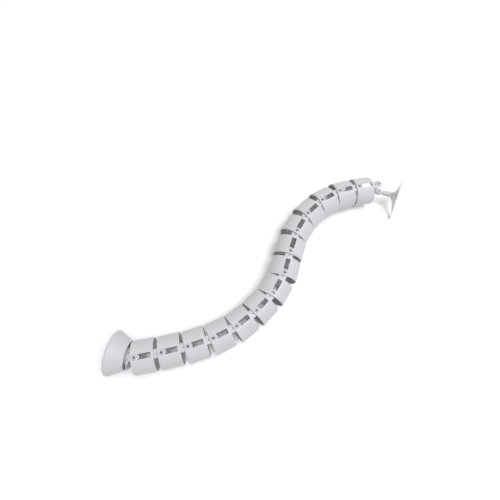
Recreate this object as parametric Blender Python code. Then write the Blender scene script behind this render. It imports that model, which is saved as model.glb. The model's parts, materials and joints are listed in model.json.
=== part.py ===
"""Articulated cable conduit for a height-adjustable desk.

Fourteen round tube links snap together lug to hole and bend in one plane.
The first link snaps onto a weighted cone foot, and the last one carries a
swivelling tripod bracket that screws under the desk top.

The conduit cannot stand unheld, so it lies in its S-bend as it comes to rest:
the plane of the bends leans on the cone's rim and on two of the links.

Each body's own frame: origin on its joint axis, +X along the conduit from foot
to bracket, +Z along the hinge axes of the links.  Metres, +Z up.
"""
import itertools
import math

import bmesh
import bpy
import numpy as np
from mathutils import Matrix, Vector

# Links
LINK_COUNT = 14
PITCH = 0.055                # pivot to pivot
LINK_DIAMETER = 0.072
LINK_WALL = 0.0026
LINK_GAP = 0.008             # open space between two shells in a straight run
PIVOT_INSET = 0.008          # from a shell's entry edge to the pivot of its holes
EDGE_ROUND = 0.0018          # outer edges of a shell
WINDOW_LENGTH = 0.0268
WINDOW_WIDTH = 0.011
WINDOW_CORNER = 0.0015
WINDOW_WEB = 0.0015          # plastic left between a pivot hole and its window

# Snap pivots
LUG_WIDTH = 0.019
LUG_THICKNESS = 0.003
LUG_CLEARANCE = 0.0016       # lug to the inside of the next shell
LUG_ROOT = 0.0048            # length of lug that is moulded to its own shell
PEG_RADIUS = 0.0048
PEG_CLEARANCE = 0.0005       # peg to hole, radially
PEG_SUNK = 0.0005            # peg face below the outside of the shell
PEG_BORE = 0.0029
RELIEF_RADIUS = 0.0015       # small moulding hole near the root of each lug
RELIEF_SETBACK = 0.0105      # from the peg's axis

# Cone foot
CONE_TOP_RADIUS = 0.0312
CONE_RIM_RADIUS = 0.048
CONE_HEIGHT = 0.0305         # sloping part
BAND_HEIGHT = 0.005          # rounded band under the rim
BAND_TAPER = 0.0015
BAND_BLEND = 0.0015          # above the rim, where the slope starts to round over
BAND_TOP = 0.00125           # below the rim, where the band is widest
BAND_TURN = 0.0035           # below the rim, where the band starts to taper in
BAND_TURN_TAPER = 0.0006
CONE_WALL = 0.0026
CONE_SETBACK = 0.021         # from the foot's pivot to the cone's small end
NECK_REACH = 0.0055          # how far the ball-shaped neck stands out of the cone's small end
NECK_WAIST = 0.001           # in front of the small end, where the ball gives way to a plain tube
NECK_CLEARANCE = 0.001       # from the neck's ball to the bore of the first link
NECK_WALL = 0.0024
NECK_FLANGE = 0.007          # behind the small end, where a flange carries the neck
NECK_FLANGE_THICKNESS = 0.003
BASE_LUG_BEND = 0.0005       # in front of the neck, where the foot's lugs bend in to it
BASE_RELIEF_RADIUS = 0.0012  # the pair of moulding holes in each of them
BASE_RELIEF_SETBACK = 0.0133
BASE_RELIEF_SPREAD = 0.0058  # from the middle of the lug
WEIGHT_THICKNESS = 0.0127
PAD_THICKNESS = 0.0032
PAD_PROUD = 0.001            # how far the pad stands below the cover
BASE_SCREW_COUNT = 3
BASE_SCREW_RADIUS = 0.0020
BASE_SCREW_HEAD = 0.0038
BASE_SCREW_HEAD_HEIGHT = 0.0022
BASE_SCREW_LENGTH = 0.0165
BASE_SOCKET_RADIUS = 0.0014
BOSS_RADIUS = 0.0045
BOSS_LENGTH = 0.006
PILOT_DEPTH = 0.0057         # hole for a screw in its boss

# Swivel in the last link
BAR_RADIUS = 0.0045
BAR_PIN_RADIUS = 0.00236     # in the hollow pegs
BAR_PIN_SUNK = 0.002         # pin end below the outside of the shell
TONGUE_THICKNESS = 0.006
TONGUE_HEIGHT = 0.011
KNUCKLE_REACH = 0.0105       # from the bar's axis to the cross pin
CROSS_PIN_RADIUS = 0.002
FORK_CHEEK = 0.0028
FORK_SLOT_DEPTH = 0.008      # beyond the cross pin
FORK_BRIDGE = 0.002          # solid end of the fork, behind its slot
ROD_RADIUS = 0.0052
JOURNAL_RADIUS = 0.003

# Tripod bracket, measured from the bar's axis along its stem
STEM_START = 0.0265
STEM_RADIUS = 0.0064
HUB_RADIUS = 0.0082
BRACKET_FACE = 0.0645        # plane that meets the desk top
ARM_COUNT = 3
ARM_REACH = 0.064
ARM_WIDTH = 0.010
ARM_THICKNESS = 0.004
GUSSET_THICKNESS = 0.004
GUSSET_HEIGHT = 0.013
GUSSET_REACH = 0.044
GUSSET_KNEE = 0.45           # share of its reach and height where a gusset's edge bends
ARM_HOLE_RADIUS = 0.0023
ARM_HOLE_INSET = 0.006       # from the arm's tip
POCKET_RADIUS = 0.0058
POCKET_DEPTH = 0.0125
WASHER_THICKNESS = 0.001
WASHER_RADIUS = 0.0052
KEEPER_HEAD_RADIUS = 0.0043
KEEPER_HEAD_HEIGHT = 0.0026
KEEPER_RADIUS = 0.0015
KEEPER_LENGTH = 0.010
KEEPER_SHANK = 0.009
KEEPER_TIP = 0.0009

CLEARANCE = 0.0003           # between neighbours that touch or turn on each other
FLOOR_CLEARANCE = 0.0004     # under the bracket's lowest arm

# Lie at rest, in degrees
FOOT_BEND = 21.0
LINK_BENDS = (1.9, 5.3, 9.0, 11.3, 8.2, 13.1, 13.8, -1.9, -13.8, -13.8, -13.8, -13.6, -5.6)
BRACKET_SWING = -36.0
BRACKET_ROLL = 18.2
BRACKET_TILT_LIMIT = 30.0
LEAN_STEPS = 30              # halvings of the bracket's tilt
PLANE_STEPS = 6              # rounds of finding the resting plane
TOUCH = 0.0000001            # a point this little below a plane still rests on it
FOOT_MASS = 0.52             # kg, for finding which points carry the weight
LINK_MASS = 0.03

# Fineness of the solids
SHELL_SIDES = 24
CONE_SIDES = 32
ROD_SIDES = 16
SMALL_SIDES = 10
TINY_SIDES = 6
ROUND_STEPS = 6              # in a half circle
LUG_STEPS = 4
NECK_STEPS = 3
WELD = 0.000002              # points closer than this are made one
REACH_THROUGH = 0.05         # half length of a cutter that passes right through
OVERSHOOT = 0.001            # how far other cutters pass the face they cut

# Worked out from the sizes above
LINK_RADIUS = LINK_DIAMETER / 2
BORE_RADIUS = LINK_RADIUS - LINK_WALL
SHELL_LENGTH = PITCH - LINK_GAP
SHELL_ENTRY = -PIVOT_INSET
SHELL_EXIT = SHELL_ENTRY + SHELL_LENGTH
LUG_OUTER = BORE_RADIUS - LUG_CLEARANCE
LUG_INNER = LUG_OUTER - LUG_THICKNESS
HOLE_RADIUS = PEG_RADIUS + PEG_CLEARANCE
WINDOW_START = HOLE_RADIUS + WINDOW_WEB
NECK_BALL = BORE_RADIUS - NECK_CLEARANCE
NECK_FRONT = NECK_REACH - CONE_SETBACK
NECK_BACK = NECK_WAIST - CONE_SETBACK
CONE_BOTTOM = -(CONE_SETBACK + CONE_HEIGHT + BAND_HEIGHT)
CONE_SLOPE = (CONE_RIM_RADIUS - CONE_TOP_RADIUS) / CONE_HEIGHT
CONE_WALL_ACROSS = CONE_WALL * math.sqrt(1 + CONE_SLOPE ** 2)   # wall measured square to the axis
WEIGHT_BACK = CONE_BOTTOM + PAD_THICKNESS - PAD_PROUD
WEIGHT_FRONT = WEIGHT_BACK + WEIGHT_THICKNESS
WEIGHT_BORE = CONE_RIM_RADIUS / 2
HALF_FACET = math.pi / SHELL_SIDES   # puts a flat of the shell, and not a ridge, under each peg


def clear_scene():
    """Remove every object, so that the model starts from nothing."""
    for obj in list(bpy.data.objects):
        bpy.data.objects.remove(obj, do_unlink=True)


def material(name, colour, roughness, metallic=0.0):
    """A Principled material with one colour."""
    mat = bpy.data.materials.new(name)
    mat.use_nodes = True
    shader = mat.node_tree.nodes["Principled BSDF"]
    shader.inputs["Base Color"].default_value = (*colour, 1.0)
    shader.inputs["Roughness"].default_value = roughness
    shader.inputs["Metallic"].default_value = metallic
    mat.diffuse_color = (*colour, 1.0)
    return mat


def solid(verts, faces):
    """A temporary object from points and faces, with its normals pointing out."""
    mesh = bpy.data.meshes.new("shape")
    mesh.from_pydata([tuple(v) for v in verts], [], faces)
    bm = bmesh.new()
    bm.from_mesh(mesh)
    bmesh.ops.recalc_face_normals(bm, faces=bm.faces)
    bm.to_mesh(mesh)
    bm.free()
    obj = bpy.data.objects.new("shape", mesh)
    bpy.context.scene.collection.objects.link(obj)
    return obj


def turned(profile, sides, axis="X", centre=(0.0, 0.0, 0.0), start=0.0):
    """Revolve a profile of (along, radius) points about an axis.

    A profile that begins and ends on the axis makes a solid with two poles.
    Any other profile is a closed loop and makes a ring.
    """
    frame = {"X": Matrix.Identity(3), "Y": Matrix(((0, 0, 1), (1, 0, 0), (0, 1, 0))),
             "Z": Matrix(((0, 1, 0), (0, 0, 1), (1, 0, 0)))}[axis]
    poles = profile[0][1] == 0.0 and profile[-1][1] == 0.0
    rings = profile[1:-1] if poles else profile
    verts = []
    for along, radius in rings:
        for i in range(sides):
            turn = start + 2 * math.pi * i / sides
            verts.append(frame @ Vector((along, radius * math.cos(turn), radius * math.sin(turn))))
    faces = []
    steps = len(rings) - 1 if poles else len(rings)
    for r in range(steps):
        a, b = r * sides, ((r + 1) % len(rings)) * sides
        for i in range(sides):
            j = (i + 1) % sides
            faces.append((a + i, a + j, b + j, b + i))
    if poles:
        first, last = len(verts), len(verts) + 1
        verts += [frame @ Vector((profile[0][0], 0, 0)), frame @ Vector((profile[-1][0], 0, 0))]
        end = (len(rings) - 1) * sides
        for i in range(sides):
            j = (i + 1) % sides
            faces.append((first, j, i))
            faces.append((last, end + i, end + j))
    offset = Vector(centre)
    return solid([v + offset for v in verts], faces)


def prism(outline, low, high, axis="Z"):
    """Extrude a closed outline from low to high along an axis.

    The outline's points are (x, y) for axis Z, (x, z) for axis Y and (y, z) for axis X.
    """
    place = {"Z": lambda p, h: (p[0], p[1], h), "Y": lambda p, h: (p[0], h, p[1]),
             "X": lambda p, h: (h, p[0], p[1])}[axis]
    count = len(outline)
    verts = [place(p, low) for p in outline] + [place(p, high) for p in outline]
    faces = [tuple(range(count))[::-1], tuple(range(count, 2 * count))]
    faces += [(i, (i + 1) % count, count + (i + 1) % count, count + i) for i in range(count)]
    return solid(verts, faces)


def arc(centre, radius, start, end, steps):
    """Points on an arc, both ends included, angles in degrees."""
    return [(centre[0] + radius * math.cos(math.radians(a)), centre[1] + radius * math.sin(math.radians(a)))
            for a in np.linspace(start, end, steps + 1)]


def rounded_box(x0, x1, half_width, corner, steps=1):
    """Outline of a rectangle with round corners, centred on y = 0."""
    points = []
    for cx, cy, start in ((x1 - corner, half_width - corner, 0), (x0 + corner, half_width - corner, 90),
                          (x0 + corner, corner - half_width, 180), (x1 - corner, corner - half_width, 270)):
        points += arc((cx, cy), corner, start, start + 90, steps)
    return points


def combine(body, operation, *tools):
    """Run a Boolean of the body with each tool and bake the result; the tools are used up."""
    for tool in tools:
        tool.hide_render = True
        tool.display_type = "WIRE"
        boolean = body.modifiers.new(operation.title(), "BOOLEAN")
        boolean.operation = operation
        boolean.object = tool
        boolean.solver = "EXACT"
        depsgraph = bpy.context.evaluated_depsgraph_get()
        baked = bpy.data.meshes.new_from_object(body.evaluated_get(depsgraph))
        body.modifiers.clear()
        body.data = baked
        bpy.data.objects.remove(tool, do_unlink=True)
    return body


def finish(obj, name, mat, smooth_angle=35.0):
    """Name a finished shape, weld it, give it its material and shade its round faces smooth."""
    bm = bmesh.new()
    bm.from_mesh(obj.data)
    bmesh.ops.remove_doubles(bm, verts=bm.verts, dist=WELD)
    bmesh.ops.dissolve_degenerate(bm, edges=bm.edges, dist=WELD)
    bm.to_mesh(obj.data)
    bm.free()
    obj.name = name
    obj.data.name = name
    obj.data.materials.clear()
    obj.data.materials.append(mat)
    obj.data.shade_smooth()
    obj.data.set_sharp_from_angle(angle=math.radians(smooth_angle))
    return obj


def attach(obj, parent, location=(0.0, 0.0, 0.0), rotation=(0.0, 0.0, 0.0)):
    """Parent an object, with its place and turn (degrees) in the parent's frame."""
    obj.parent = parent
    obj.location = location
    obj.rotation_euler = [math.radians(a) for a in rotation]
    return obj


def lug_pair(root, section):
    """Two curved lugs, over and under, whose round tips centre on the pivot at x = 0.

    section lists the corners of their section behind the tip as (x, radius), from the inside
    round the back to the outside.  The lugs are cut off square at root.
    """
    half = LUG_WIDTH / 2
    outline = [(root, half), (root, -half)] + arc((0, 0), half, -90, 90, LUG_STEPS)
    end = half + OVERSHOOT
    sleeve = turned(section + [(end, LUG_OUTER), (end, LUG_INNER)], SHELL_SIDES, start=HALF_FACET)
    return combine(sleeve, "INTERSECT", prism(outline, -REACH_THROUGH, REACH_THROUGH))


def pegs():
    """The two pegs that stand on a pair of lugs, each with a chamfered head."""
    top = LINK_RADIUS - PEG_SUNK
    foot = LUG_OUTER - LUG_THICKNESS / 2
    chamfer = PEG_BORE / 4
    made = []
    for side in (1, -1):
        profile = [(side * foot, 0.0), (side * foot, PEG_RADIUS), (side * (top - chamfer), PEG_RADIUS),
                   (side * top, PEG_RADIUS - chamfer), (side * top, 0.0)]
        made.append(turned(profile, SMALL_SIDES, "Z"))
    return made


def rod(low, high, radius):
    """Profile of a plain round rod or cutter."""
    return [(low, 0.0), (low, radius), (high, radius), (high, 0.0)]


def through_hole(x, radius, sides, y=0.0):
    """A cutter right through the conduit along Z."""
    return turned(rod(-REACH_THROUGH, REACH_THROUGH, radius), sides, "Z", (x, y, 0))


def shift(obj, x):
    """Move a shape's points along X."""
    obj.data.transform(Matrix.Translation((x, 0, 0)))
    return obj


def link_shape():
    """One moulded link: shell, windows, entry holes, and exit lugs with hollow pegs."""
    r, e = LINK_RADIUS, EDGE_ROUND
    profile = [(SHELL_ENTRY, BORE_RADIUS)]
    profile += arc((SHELL_ENTRY + e, r - e), e, 180, 90, 1)
    profile += arc((SHELL_EXIT - e, r - e), e, 90, 0, 1)
    profile += [(SHELL_EXIT, BORE_RADIUS)]
    shell = turned(profile, SHELL_SIDES, start=HALF_FACET)
    root, step = SHELL_EXIT - LUG_ROOT - PITCH, SHELL_EXIT - e - PITCH
    middle = BORE_RADIUS + LINK_WALL / 2
    section = [(root - OVERSHOOT, LUG_INNER), (root - OVERSHOOT, middle), (step, middle), (step, LUG_OUTER)]
    lugs = shift(lug_pair(root, section), PITCH)
    combine(shell, "UNION", lugs, *[shift(peg, PITCH) for peg in pegs()])
    window = rounded_box(WINDOW_START, WINDOW_START + WINDOW_LENGTH, WINDOW_WIDTH / 2, WINDOW_CORNER)
    combine(shell, "DIFFERENCE", prism(window, -REACH_THROUGH, REACH_THROUGH),
            through_hole(0, HOLE_RADIUS, SMALL_SIDES), through_hole(PITCH, PEG_BORE, TINY_SIDES),
            through_hole(PITCH - RELIEF_SETBACK, RELIEF_RADIUS, TINY_SIDES))
    return shell


def make_links(foot, plastic):
    """The chain of links, each turned on the one before it."""
    shape = finish(link_shape(), "link_01", plastic)
    links = [attach(shape, foot, (0, 0, 0), (0, 0, FOOT_BEND))]
    for number in range(2, LINK_COUNT + 1):
        link = bpy.data.objects.new(f"link_{number:02d}", shape.data)
        bpy.context.scene.collection.objects.link(link)
        links.append(attach(link, links[-1], (PITCH, 0, 0), (0, 0, link_bend(number))))
    return links


def link_bend(number):
    """Bend between a link and the one before it at rest; links past the list lie straight."""
    return LINK_BENDS[number - 2] if number - 2 < len(LINK_BENDS) else 0.0


def cone_radius(x):
    """Outer radius of the foot's cone at x, in the foot's frame."""
    return CONE_TOP_RADIUS + (-CONE_SETBACK - x) * CONE_SLOPE


def cover_bore(x):
    """Inner radius of the cover at x, between its small end and its rim."""
    return cone_radius(x) - CONE_WALL_ACROSS


def neck_radius(x):
    """Outer radius of the neck's ball at x; the ball centres on the foot's pivot."""
    return math.sqrt(NECK_BALL ** 2 - x ** 2)


def screw_circle():
    """Radius of the circle of the foot's screws, whose bosses are sunk into the cover's wall."""
    return cover_bore(WEIGHT_FRONT + CLEARANCE + BOSS_LENGTH) - BOSS_RADIUS / 2


def screw_places():
    """Centres of the foot's screws as (y, z)."""
    circle = screw_circle()
    turns = [math.pi / 6 + 2 * math.pi * i / BASE_SCREW_COUNT for i in range(BASE_SCREW_COUNT)]
    return [(circle * math.cos(a), circle * math.sin(a)) for a in turns]


def make_neck():
    """The ball-shaped neck that turns inside the first link, with the flange that carries it."""
    ball = [NECK_FRONT + (NECK_BACK - NECK_FRONT) * i / NECK_STEPS for i in range(NECK_STEPS + 1)]
    tube = neck_radius(NECK_BACK)
    near = -(CONE_SETBACK + NECK_FLANGE)
    far = near - NECK_FLANGE_THICKNESS
    profile = [(x, neck_radius(x)) for x in ball]
    profile += [(near, tube), (near, cone_radius(near) - CONE_WALL / 2),
                (far, cone_radius(far) - CONE_WALL / 2), (far, tube - NECK_WALL)]
    profile += [(x, neck_radius(x) - NECK_WALL) for x in reversed(ball)]
    return turned(profile, SHELL_SIDES, start=HALF_FACET)


def base_lugs():
    """The foot's lugs, which bend in behind their tips and end on the neck."""
    bend = NECK_FRONT + BASE_LUG_BEND
    tube = neck_radius(NECK_BACK)
    section = [(bend, LUG_INNER), (NECK_FRONT, neck_radius(NECK_FRONT) - NECK_WALL / 2),
               (NECK_BACK, tube - NECK_WALL / 2), (NECK_BACK, tube + NECK_WALL / 4), (bend, LUG_OUTER)]
    return lug_pair(NECK_BACK + OVERSHOOT, section)


def make_cover(plastic):
    """The foot's moulded cone, open at both ends, with bosses inside and a neck with lugs in front."""
    front, rim = -CONE_SETBACK, -(CONE_SETBACK + CONE_HEIGHT)
    edge = CONE_WALL / 3
    wall = CONE_WALL_ACROSS
    profile = [(front, CONE_TOP_RADIUS - wall), (front, CONE_TOP_RADIUS - edge),
               (front - edge, CONE_TOP_RADIUS + edge * CONE_SLOPE),
               (rim + BAND_BLEND, cone_radius(rim + BAND_BLEND)), (rim - BAND_TOP, CONE_RIM_RADIUS),
               (rim - BAND_TURN, CONE_RIM_RADIUS - BAND_TURN_TAPER),
               (CONE_BOTTOM, CONE_RIM_RADIUS - BAND_TAPER),
               (CONE_BOTTOM, CONE_RIM_RADIUS - BAND_TAPER - CONE_WALL), (rim, cone_radius(rim) - wall)]
    cover = turned(profile, CONE_SIDES)
    seat = WEIGHT_FRONT + CLEARANCE
    bosses = []
    pilots = []
    for y, z in screw_places():
        bosses.append(turned(rod(seat, seat + BOSS_LENGTH, BOSS_RADIUS), SMALL_SIDES, "X", (0, y, z)))
        pilot = rod(WEIGHT_FRONT, WEIGHT_FRONT + PILOT_DEPTH, BASE_SCREW_RADIUS + CLEARANCE)
        pilots.append(turned(pilot, TINY_SIDES, "X", (0, y, z)))
    combine(cover, "UNION", *bosses, make_neck(), base_lugs(), *pegs())
    reliefs = [through_hole(-BASE_RELIEF_SETBACK, BASE_RELIEF_RADIUS, TINY_SIDES, side * BASE_RELIEF_SPREAD)
               for side in (1, -1)]
    combine(cover, "DIFFERENCE", *pilots, through_hole(0, PEG_BORE, TINY_SIDES), *reliefs)
    return finish(cover, "base_cover", plastic)


def make_weight(steel):
    """The steel ring that fills the cover's wide end, tapered to fit it."""
    rim = -(CONE_SETBACK + CONE_HEIGHT)
    front = cover_bore(WEIGHT_FRONT) - CLEARANCE
    back = cover_bore(rim) - BAND_TAPER - CLEARANCE * 2
    waist = WEIGHT_FRONT - (back - front) / CONE_SLOPE          # where the taper has reached its full width
    profile = [(WEIGHT_FRONT, WEIGHT_BORE), (WEIGHT_FRONT, front), (waist, back), (WEIGHT_BACK, back),
               (WEIGHT_BACK, WEIGHT_BORE)]
    weight = turned(profile, CONE_SIDES)
    hole = BASE_SCREW_RADIUS + CLEARANCE
    head = BASE_SCREW_HEAD + CLEARANCE
    seat = WEIGHT_BACK + BASE_SCREW_HEAD_HEIGHT + CLEARANCE
    begin, end = WEIGHT_BACK - OVERSHOOT, WEIGHT_FRONT + OVERSHOOT
    cutter = [(begin, 0.0), (begin, head), (seat - head + hole, head), (seat, hole), (end, hole), (end, 0.0)]
    for y, z in screw_places():
        combine(weight, "DIFFERENCE", turned(cutter, SMALL_SIDES, "X", (0, y, z)))
    return finish(weight, "base_weight", steel)


def make_pad(rubber):
    """The rubber ring under the foot, glued to the weight and standing just proud of the rim."""
    outer = CONE_RIM_RADIUS - BAND_TAPER - CONE_WALL - CLEARANCE
    inner = screw_circle() + BASE_SCREW_HEAD + CLEARANCE
    front = WEIGHT_BACK - CLEARANCE
    back = front - PAD_THICKNESS
    chamfer = (outer - inner) / 7
    ring = turned([(front, inner), (front, outer), (back + chamfer, outer), (back, outer - chamfer),
                   (back, inner + chamfer), (back + chamfer, inner)], CONE_SIDES)
    return finish(ring, "base_pad", rubber)


def make_base_screw(number, place, steel):
    """A countersunk screw through the weight into a boss of the cover."""
    y, z = place
    back = WEIGHT_BACK + CLEARANCE
    seat = back + BASE_SCREW_HEAD_HEIGHT
    neck = seat - BASE_SCREW_HEAD + BASE_SCREW_RADIUS
    tip = back + BASE_SCREW_LENGTH
    profile = [(back, 0.0), (back, BASE_SCREW_HEAD), (neck, BASE_SCREW_HEAD), (seat, BASE_SCREW_RADIUS),
               (tip - BASE_SCREW_RADIUS, BASE_SCREW_RADIUS), (tip, BASE_SCREW_RADIUS / 2), (tip, 0.0)]
    screw = turned(profile, SMALL_SIDES, "X", (0, y, z))
    socket = rod(back - OVERSHOOT, back + BASE_SCREW_HEAD_HEIGHT / 2, BASE_SOCKET_RADIUS)
    combine(screw, "DIFFERENCE", turned(socket, TINY_SIDES, "X", (0, y, z)))
    return finish(screw, f"base_screw_{number}", steel)


def cross_hole(x):
    """A cutter for the cross pin's hole, along Y."""
    hole = rod(-REACH_THROUGH, REACH_THROUGH, CROSS_PIN_RADIUS + CLEARANCE)
    return turned(hole, SMALL_SIDES, "Y", (x, 0, 0))


def make_cross_bar(plastic):
    """The bar between the last link's lugs: a pin at each end and a flat tongue in the middle."""
    flat = LUG_INNER * math.cos(math.pi / SHELL_SIDES)          # middle of a facet under the lug
    shoulder = math.sqrt(flat ** 2 - BAR_RADIUS ** 2) - CLEARANCE
    end = LINK_RADIUS - BAR_PIN_SUNK
    pin = BAR_PIN_RADIUS
    chamfer = pin / 4
    half_profile = [(end, 0.0), (end, pin - chamfer), (end - chamfer, pin), (shoulder, pin),
                    (shoulder, BAR_RADIUS)]
    mirrored = [(-along, radius) for along, radius in reversed(half_profile)]
    bar = turned(half_profile + mirrored, SMALL_SIDES, "Z")
    half = TONGUE_HEIGHT / 2
    outline = [(0, -half)] + arc((KNUCKLE_REACH, 0), half, -90, 90, ROUND_STEPS) + [(0, half)]
    combine(bar, "UNION", prism(outline, -TONGUE_THICKNESS / 2, TONGUE_THICKNESS / 2, "Y"))
    combine(bar, "DIFFERENCE", cross_hole(KNUCKLE_REACH))
    return finish(bar, "cross_bar", plastic)


def make_fork(plastic):
    """The fork that tilts on the cross pin, and the rod and journal that carry the tripod."""
    half = TONGUE_HEIGHT / 2
    cheek = TONGUE_THICKNESS / 2 + CLEARANCE + FORK_CHEEK
    shoulder = STEM_START - KNUCKLE_REACH - CLEARANCE
    journal_end = fork_journal_end()
    root = FORK_SLOT_DEPTH + FORK_BRIDGE / 2
    body_end = FORK_SLOT_DEPTH + FORK_BRIDGE
    outline = arc((0, 0), half, 90, 270, ROUND_STEPS) + [(body_end, -half), (body_end, half)]
    fork = prism(outline, -cheek, cheek, "Y")
    shaft = [(root, 0.0), (root, ROD_RADIUS), (shoulder, ROD_RADIUS), (shoulder, JOURNAL_RADIUS),
             (journal_end, JOURNAL_RADIUS), (journal_end, 0.0)]
    combine(fork, "UNION", turned(shaft, ROD_SIDES))
    slot_half = TONGUE_THICKNESS / 2 + CLEARANCE
    edge = half + OVERSHOOT
    slot = prism([(-edge, -edge), (FORK_SLOT_DEPTH, -edge), (FORK_SLOT_DEPTH, edge), (-edge, edge)],
                 -slot_half, slot_half, "Y")
    tapping = rod(journal_end - KEEPER_LENGTH, journal_end + OVERSHOOT, KEEPER_RADIUS + CLEARANCE)
    combine(fork, "DIFFERENCE", slot, cross_hole(0), turned(tapping, TINY_SIDES))
    return finish(fork, "swivel_fork", plastic)


def fork_journal_end():
    """Where the journal ends, level with the floor of the bracket's pocket, in the fork's frame."""
    return BRACKET_FACE - POCKET_DEPTH - KNUCKLE_REACH + CLEARANCE


def make_cross_pin(steel):
    """The steel pin that the fork tilts on, pressed through both cheeks."""
    end = TONGUE_THICKNESS / 2 + CLEARANCE + FORK_CHEEK
    chamfer = CROSS_PIN_RADIUS / 4
    profile = [(-end, 0.0), (-end, CROSS_PIN_RADIUS - chamfer), (chamfer - end, CROSS_PIN_RADIUS),
               (end - chamfer, CROSS_PIN_RADIUS), (end, CROSS_PIN_RADIUS - chamfer), (end, 0.0)]
    return finish(turned(profile, SMALL_SIDES, "Y"), "cross_pin", steel)


def arm_outline():
    """Outline of one bracket arm along +Z, as (y, z), with a round tip."""
    half = ARM_WIDTH / 2
    return [(-half, 0.0), (half, 0.0)] + arc((0, ARM_REACH - half), half, 0, 180, ROUND_STEPS)


def turn_about_x(obj, degrees):
    """Turn a shape's points about X."""
    obj.data.transform(Matrix.Rotation(math.radians(degrees), 4, "X"))
    return obj


def make_tripod(plastic):
    """The moulded bracket: a stem, three flat arms with screw holes, and a gusset behind each arm.

    Its frame is the fork's, turned by the bracket's roll.
    """
    start = STEM_START - KNUCKLE_REACH
    face = BRACKET_FACE - KNUCKLE_REACH
    back = face - ARM_THICKNESS
    edge = CLEARANCE * 3
    stem = turned([(start, 0.0), (start, STEM_RADIUS - edge), (start + edge, STEM_RADIUS),
                   (back, HUB_RADIUS), (face, HUB_RADIUS), (face, 0.0)], ROD_SIDES)
    arms = []
    web = GUSSET_THICKNESS / 2
    middle = back + ARM_THICKNESS / 2
    gusset = [(back - GUSSET_HEIGHT, STEM_RADIUS / 2), (middle, STEM_RADIUS / 2), (middle, GUSSET_REACH),
              (back, GUSSET_REACH), (back - GUSSET_HEIGHT * GUSSET_KNEE, GUSSET_REACH * GUSSET_KNEE),
              (back - GUSSET_HEIGHT, HUB_RADIUS)]
    for i in range(ARM_COUNT):
        turn = 360 * i / ARM_COUNT
        arms.append(turn_about_x(prism(arm_outline(), back, face, "X"), turn))
        arms.append(turn_about_x(prism(gusset, -web, web, "Y"), turn))
    combine(stem, "UNION", *arms)
    bore = JOURNAL_RADIUS + CLEARANCE
    pocket = face - POCKET_DEPTH
    begin, end = start - OVERSHOOT, face + OVERSHOOT
    bored = [(begin, 0.0), (begin, bore), (pocket, bore), (pocket, POCKET_RADIUS),
             (end, POCKET_RADIUS), (end, 0.0)]
    combine(stem, "DIFFERENCE", turned(bored, ROD_SIDES))
    drill = rod(back - OVERSHOOT, end, ARM_HOLE_RADIUS)
    for i in range(ARM_COUNT):
        hole = turned(drill, SMALL_SIDES, "X", (0, 0, ARM_REACH - ARM_HOLE_INSET))
        combine(stem, "DIFFERENCE", turn_about_x(hole, 360 * i / ARM_COUNT))
    return finish(stem, "tripod_bracket", plastic)


def make_washer(steel):
    """The washer that keeps the tripod on its journal."""
    low = fork_journal_end() + CLEARANCE
    high = low + WASHER_THICKNESS
    hole = KEEPER_RADIUS + CLEARANCE
    ring = turned([(low, hole), (low, WASHER_RADIUS), (high, WASHER_RADIUS), (high, hole)], ROD_SIDES)
    return finish(ring, "keeper_washer", steel)


def make_keeper(steel):
    """The screw that holds the washer on the end of the journal."""
    seat = fork_journal_end() + CLEARANCE * 2 + WASHER_THICKNESS
    top = seat + KEEPER_HEAD_HEIGHT
    tip = seat - KEEPER_SHANK
    crown = KEEPER_HEAD_HEIGHT / 3
    screw = turned([(tip, 0.0), (tip, KEEPER_TIP), (tip + KEEPER_TIP, KEEPER_RADIUS),
                    (seat, KEEPER_RADIUS), (seat, KEEPER_HEAD_RADIUS), (top - crown, KEEPER_HEAD_RADIUS),
                    (top, KEEPER_HEAD_RADIUS - crown), (top, 0.0)], SMALL_SIDES)
    socket = rod(top - KEEPER_HEAD_HEIGHT / 2, top + OVERSHOOT, KEEPER_RADIUS)
    combine(screw, "DIFFERENCE", turned(socket, TINY_SIDES))
    return finish(screw, "keeper_screw", steel)


def chain_layout():
    """Places and headings in the plane of the bends: the foot's first, then each link's."""
    heading = -math.radians(FOOT_BEND)
    place = np.zeros(2)
    frames = [(place, heading)]
    heading += math.radians(FOOT_BEND)
    for number in range(1, LINK_COUNT + 1):
        if number > 1:
            heading += math.radians(link_bend(number))
        frames.append((place, heading))
        place = place + PITCH * np.array([math.cos(heading), math.sin(heading)])
    return frames, place


def resting_plane():
    """Turn that lays the chain on the floor.

    Every shell edge and the cone's rim is a disc.  The lowest point of a disc of radius r
    about axis a, seen along the upward normal n, is its centre less r times the unit vector
    of n square to a.  The floor is the plane through three such points that has all the
    others above it and the centre of mass over their triangle.
    """
    frames, _ = chain_layout()
    discs, masses = [], []
    for index, (place, heading) in enumerate(frames):
        axis = np.array([math.cos(heading), math.sin(heading), 0.0])
        origin = np.array([place[0], place[1], 0.0])
        if index == 0:
            ends = [(-(CONE_SETBACK + CONE_HEIGHT), CONE_RIM_RADIUS)]
            masses.append((origin + axis * WEIGHT_FRONT, FOOT_MASS))
        else:
            ends = [(SHELL_ENTRY + EDGE_ROUND, LINK_RADIUS), (SHELL_EXIT - EDGE_ROUND, LINK_RADIUS)]
            masses.append((origin + axis * PITCH / 2, LINK_MASS))
        discs += [(origin + axis * along, axis, radius) for along, radius in ends]
    total = sum(mass for _, mass in masses)
    centre = sum(point * mass for point, mass in masses) / total
    normal = np.array([0.0, 0.0, 1.0])
    for _ in range(PLANE_STEPS):
        points = []
        for middle, axis, radius in discs:
            square = normal - axis * (normal @ axis)
            points.append(middle - radius * square / np.linalg.norm(square))
        normal = supporting_normal(np.array(points), centre)
    return normal


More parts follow.
